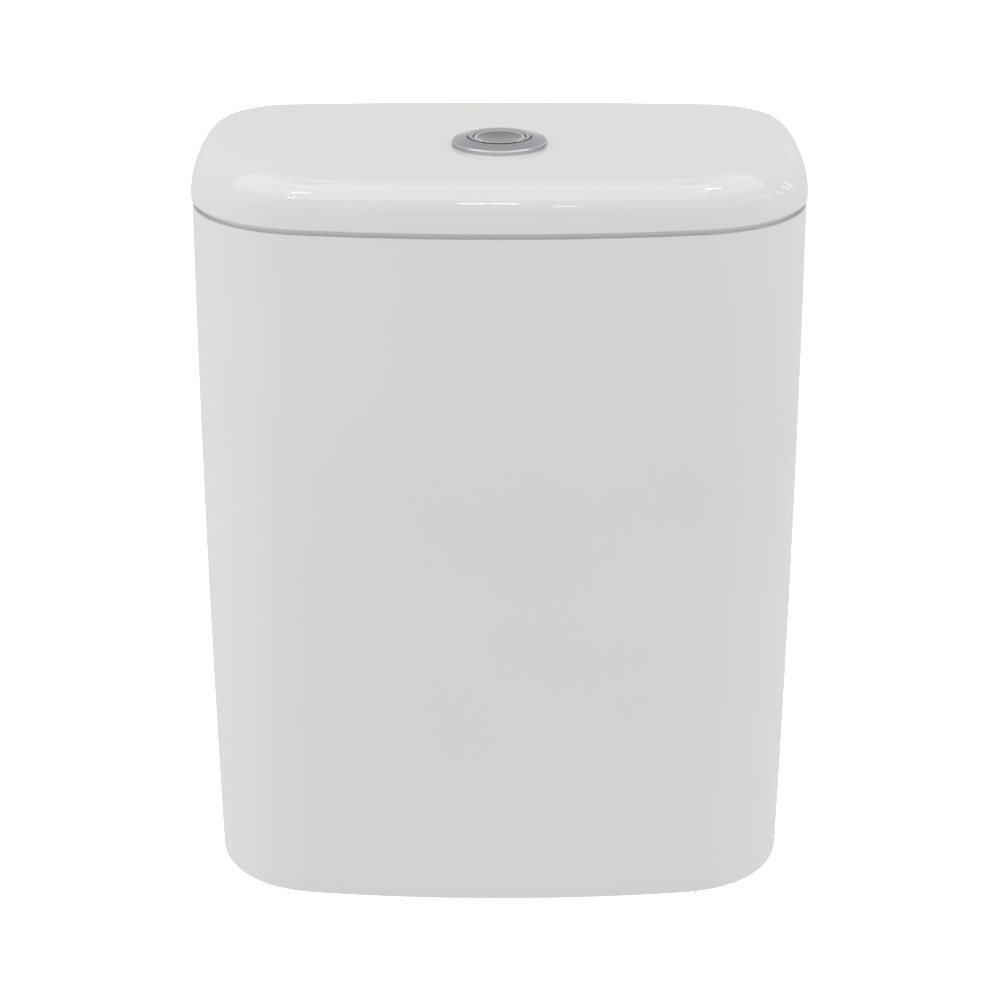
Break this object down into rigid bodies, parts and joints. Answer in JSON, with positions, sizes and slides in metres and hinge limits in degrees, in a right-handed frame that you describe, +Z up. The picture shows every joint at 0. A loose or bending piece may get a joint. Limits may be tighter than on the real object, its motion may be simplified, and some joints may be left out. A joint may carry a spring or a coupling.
{
  "type": "toilet cistern",
  "caption": "Close-coupled ceramic toilet cistern with a crowned lid, a round dual flush button, a flush valve and a float-operated fill valve.",
  "frame": {"origin": "on the outlet's axis, at the tank's flat underside, midway between the two pan bolts", "axes": "+Z up the outlet's axis, -Y towards the front, +X to the right seen from the front; the flat back is at y = 0.075 m"},
  "size_m": [0.36, 0.1853, 0.502],
  "materials": {
    "ceramic": "gloss glaze",
    "chrome": "polished chrome plate",
    "white_plastic": "moulded",
    "grey_plastic": "moulded",
    "float_plastic": "moulded",
    "rubber": "matte",
    "brass": "turned",
    "steel": "plain"
  },
  "bodies": {
    "tank_body": {"tank": "ceramic", "valve_base": "white_plastic", "valve_base_washer": "rubber", "valve_backnut": "white_plastic", "valve_tower": "white_plastic", "rocker_pin": "steel", "fill_shank": "white_plastic", "fill_washer": "rubber", "fill_backnut": "white_plastic", "fill_riser": "grey_plastic", "fill_head": "white_plastic", "diaphragm": "rubber", "fill_cap": "grey_plastic", "lever_pin": "steel", "pan_bolts": "brass", "bolt_seals": "rubber", "bolt_washers": "steel"},
    "lid_body": {"lid": "ceramic", "button_bezel": "chrome", "button_sleeve": "white_plastic", "sleeve_nut": "white_plastic", "full_key_spring": "steel", "half_key_spring": "steel"},
    "full_key_body": {"full_flush_key": "chrome", "full_push_rod": "grey_plastic"},
    "half_key_body": {"half_flush_key": "chrome", "half_push_rod": "grey_plastic"},
    "full_rocker_body": {"full_rocker": "grey_plastic"},
    "half_rocker_body": {"half_rocker": "grey_plastic"},
    "stem_body": {"valve_stem": "grey_plastic", "flush_seal": "rubber", "full_float": "float_plastic"},
    "half_float_body": {"half_float": "float_plastic"},
    "half_catch_body": {"half_catch": "grey_plastic"},
    "fill_float_body": {"float_cup": "float_plastic"},
    "level_screw_body": {"level_screw": "grey_plastic"},
    "fill_lever_body": {"fill_lever": "white_plastic"}
  },
  "joints": [
    {"name": "lid_lift", "type": "slide", "parent": "tank_body", "child": "lid_body", "axis": [0, 0, 1], "range_m": [0, 0.15]},
    {"name": "full_key_press", "type": "slide", "parent": "lid_body", "child": "full_key_body", "axis": [0, 0, -1], "range_m": [0, 0.007], "stiffness_N_per_m": 600, "springref_m": -0.006, "deforming": ["full_key_spring"]},
    {"name": "half_key_press", "type": "slide", "parent": "lid_body", "child": "half_key_body", "axis": [0, 0, -1], "range_m": [0, 0.007], "stiffness_N_per_m": 600, "springref_m": -0.006, "deforming": ["half_key_spring"]},
    {"name": "full_rocker_turn", "type": "hinge", "parent": "tank_body", "child": "full_rocker_body", "pos_m": [0, -0.0225, 0.303], "axis": [1, 0, 0], "range_deg": [0, 21.18]},
    {"name": "half_rocker_turn", "type": "hinge", "parent": "tank_body", "child": "half_rocker_body", "pos_m": [0, -0.0225, 0.303], "axis": [1, 0, 0], "range_deg": [0, 21.18]},
    {"name": "stem_lift", "type": "slide", "parent": "tank_body", "child": "stem_body", "axis": [0, 0, 1], "range_m": [0, 0.00813]},
    {"name": "half_catch_lift", "type": "slide", "parent": "tank_body", "child": "half_catch_body", "axis": [0, 0, 1], "range_m": [0, 0.00813]},
    {"name": "half_float_rise", "type": "slide", "parent": "tank_body", "child": "half_float_body", "axis": [0, 0, 1], "range_m": [0, 0.01]},
    {"name": "fill_float_rise", "type": "slide", "parent": "tank_body", "child": "fill_float_body", "axis": [0, 0, 1], "range_m": [0, 0.012]},
    {"name": "level_screw_turn", "type": "hinge", "parent": "fill_float_body", "child": "level_screw_body", "pos_m": [-0.137, 0.03, 0.258], "axis": [0, 0, 1], "continuous": true},
    {"name": "fill_lever_turn", "type": "hinge", "parent": "tank_body", "child": "fill_lever_body", "pos_m": [-0.106, 0.03, 0.3265], "axis": [0, 1, 0], "range_deg": [0, 22.82]}
  ],
  "couplings": [
    {"joint": "full_rocker_turn", "follows": "full_key_press", "rad_per_m": 51.561},
    {"joint": "stem_lift", "follows": "full_key_press", "ratio": 1.1538},
    {"joint": "half_rocker_turn", "follows": "half_key_press", "rad_per_m": 51.561},
    {"joint": "half_catch_lift", "follows": "half_key_press", "ratio": 1.1538},
    {"joint": "fill_lever_turn", "follows": "fill_float_rise", "rad_per_m": 32.463}
  ]
}
